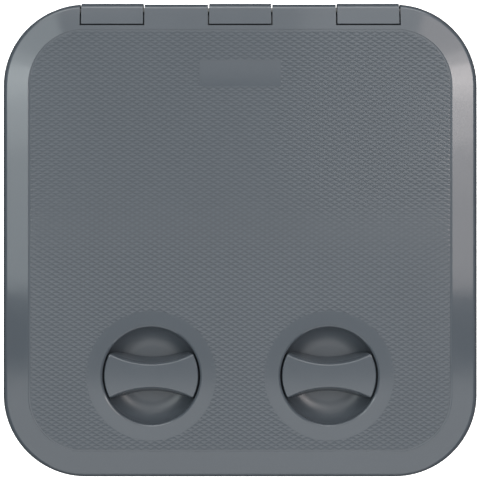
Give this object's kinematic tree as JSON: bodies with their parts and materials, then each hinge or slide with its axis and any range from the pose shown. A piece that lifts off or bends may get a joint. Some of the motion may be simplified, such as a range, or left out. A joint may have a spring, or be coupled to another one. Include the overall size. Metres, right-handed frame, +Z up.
{
  "type": "deck hatch",
  "caption": "Square plastic deck access hatch: a hinged lid with a raised diamond tread and two quarter-turn bow-tie handles over a flanged frame with a sealing rim.",
  "frame": {"origin": "centre of the four corner screw holes, on the underside of the frame's flange, which is the deck surface", "axes": "+X along the hinge line to the right, +Y towards the hinge, +Z up out of the deck"},
  "size_m": [0.375, 0.3746, 0.0434],
  "materials": {
    "hatch_plastic": "satin grey moulded plastic",
    "seal_rubber": "matt black",
    "stainless": "turned",
    "insert_brass": "knurled",
    "latch_nylon": "black glass-filled nylon"
  },
  "bodies": {
    "frame": {"frame": "hatch_plastic", "hinge_pin_left": "stainless", "hinge_pin_centre": "stainless", "hinge_pin_right": "stainless"},
    "lid": {"lid": "hatch_plastic", "lid_gasket": "seal_rubber"},
    "handle_left": {"handle_left": "hatch_plastic", "o_ring_left": "seal_rubber", "shaft_insert_left": "insert_brass", "thrust_washer_left": "latch_nylon", "latch_cam_left": "latch_nylon", "spring_washer_left": "stainless", "cam_screw_left": "stainless"},
    "handle_right": {"handle_right": "hatch_plastic", "o_ring_right": "seal_rubber", "shaft_insert_right": "insert_brass", "thrust_washer_right": "latch_nylon", "latch_cam_right": "latch_nylon", "spring_washer_right": "stainless", "cam_screw_right": "stainless"}
  },
  "joints": [
    {"name": "lid_hinge", "type": "hinge", "parent": "frame", "child": "lid", "pos_m": [0, 0.182, 0.00926], "axis": [-1, 0, 0], "range_deg": [0, 180]},
    {"name": "handle_left_turn", "type": "hinge", "parent": "lid", "child": "handle_left", "pos_m": [-0.0701, -0.1066, 0], "axis": [0, 0, -1], "range_deg": [0, 90]},
    {"name": "handle_right_turn", "type": "hinge", "parent": "lid", "child": "handle_right", "pos_m": [0.0701, -0.1066, 0], "axis": [0, 0, 1], "range_deg": [0, 90]}
  ]
}
